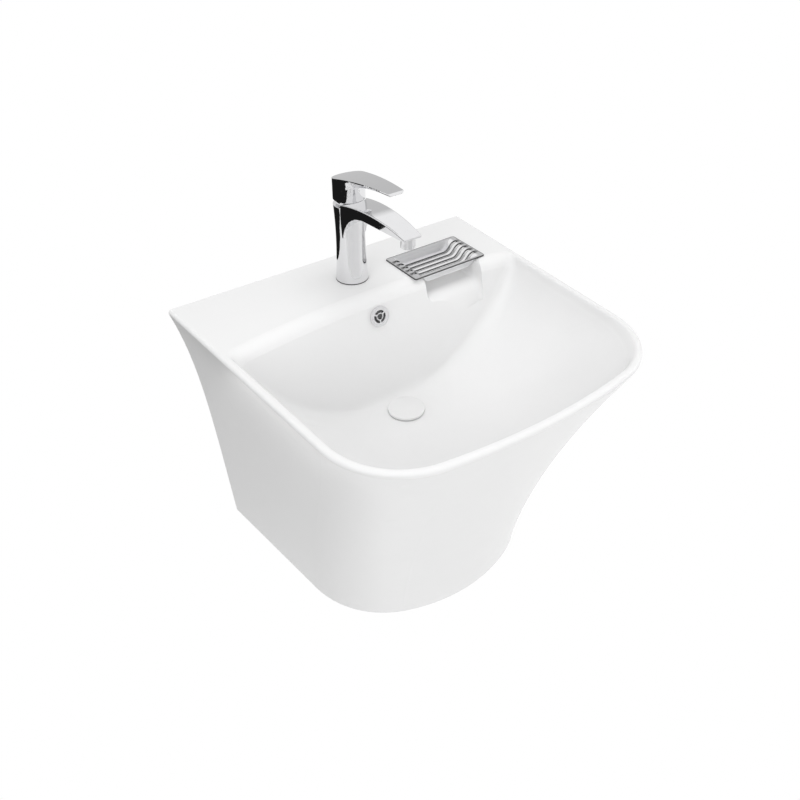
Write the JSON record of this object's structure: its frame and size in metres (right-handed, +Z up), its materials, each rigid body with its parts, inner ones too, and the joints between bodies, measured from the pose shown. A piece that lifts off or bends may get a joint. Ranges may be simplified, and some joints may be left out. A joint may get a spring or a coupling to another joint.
{
  "type": "wall-hung wash basin with half pedestal",
  "caption": "Wall-hung white china wash basin whose skirt flares up from a half pedestal, with a chrome lever tap, push waste, bottle trap and lift-out soap dish.",
  "frame": {"origin": "midway between the two wall fixing studs, in the plane of the wall", "axes": "+X to the right as seen from the front, +Y into the wall along the fixing studs, +Z up"},
  "size_m": [0.4992, 0.5322, 0.571],
  "materials": {
    "china": "white glaze, smooth and glossy",
    "cap_white": "white glaze",
    "chrome": "polished chrome plate",
    "dish_steel": "pressed stainless sheet with a soft shine",
    "zinc_steel": "zinc-plated steel",
    "brass": "plain brass, turned",
    "rubber": "black rubber",
    "white_plastic": "white moulded plastic",
    "grey_plastic": "grey moulded plastic"
  },
  "bodies": {
    "basin": {"basin_body": "china", "tap_body": "chrome", "bonnet_ring": "chrome", "aerator_housing": "chrome", "overflow_trim": "chrome", "waste_body": "chrome", "wall_studs": "zinc_steel", "stud_washers": "zinc_steel", "stud_nuts": "zinc_steel", "tap_clamp_plate": "zinc_steel", "tap_fixing_stud": "brass", "tap_fixing_nut": "brass", "cartridge_nut": "brass", "waste_lock_nut": "brass", "tap_base_seal": "rubber", "tap_clamp_seal": "rubber", "aerator_seal": "rubber", "waste_flange_gasket": "rubber", "waste_lower_gasket": "rubber", "trap_inlet_seal": "rubber", "trap_outlet_seal": "rubber", "trap_cup_seal": "rubber", "waste_tailpiece": "white_plastic", "trap_body": "white_plastic", "trap_inlet_nut": "white_plastic", "trap_outlet_nut": "white_plastic", "trap_cup": "white_plastic", "outlet_pipe": "white_plastic", "wall_flange": "white_plastic", "stud_bushes": "grey_plastic", "cartridge_body": "grey_plastic", "aerator_insert": "grey_plastic", "click_cartridge": "grey_plastic"},
    "swivel": {"cartridge_rotor": "grey_plastic", "lever_pivot_pin": "zinc_steel"},
    "lever": {"lever_handle": "chrome", "lever_screw": "zinc_steel", "lever_plug": "chrome", "lever_stem": "brass"},
    "plug": {"waste_cap": "cap_white", "waste_cap_seal": "rubber", "plug_stem": "zinc_steel"},
    "dish": {"soap_dish": "dish_steel"}
  },
  "joints": [
    {"name": "lever_swivel", "type": "hinge", "parent": "basin", "child": "swivel", "pos_m": [0, -0.069, 0.218], "axis": [0, 0, 1], "range_deg": [-45, 45]},
    {"name": "lever_lift", "type": "hinge", "parent": "swivel", "child": "lever", "pos_m": [0, -0.069, 0.218], "axis": [-1, 0, 0], "range_deg": [0, 20]},
    {"name": "plug_slide", "type": "slide", "parent": "basin", "child": "plug", "axis": [0, 0, 1], "range_m": [0, 0.008]},
    {"name": "dish_lift", "type": "slide", "parent": "basin", "child": "dish", "axis": [0, 0, 1], "range_m": [0, 0.12]}
  ]
}
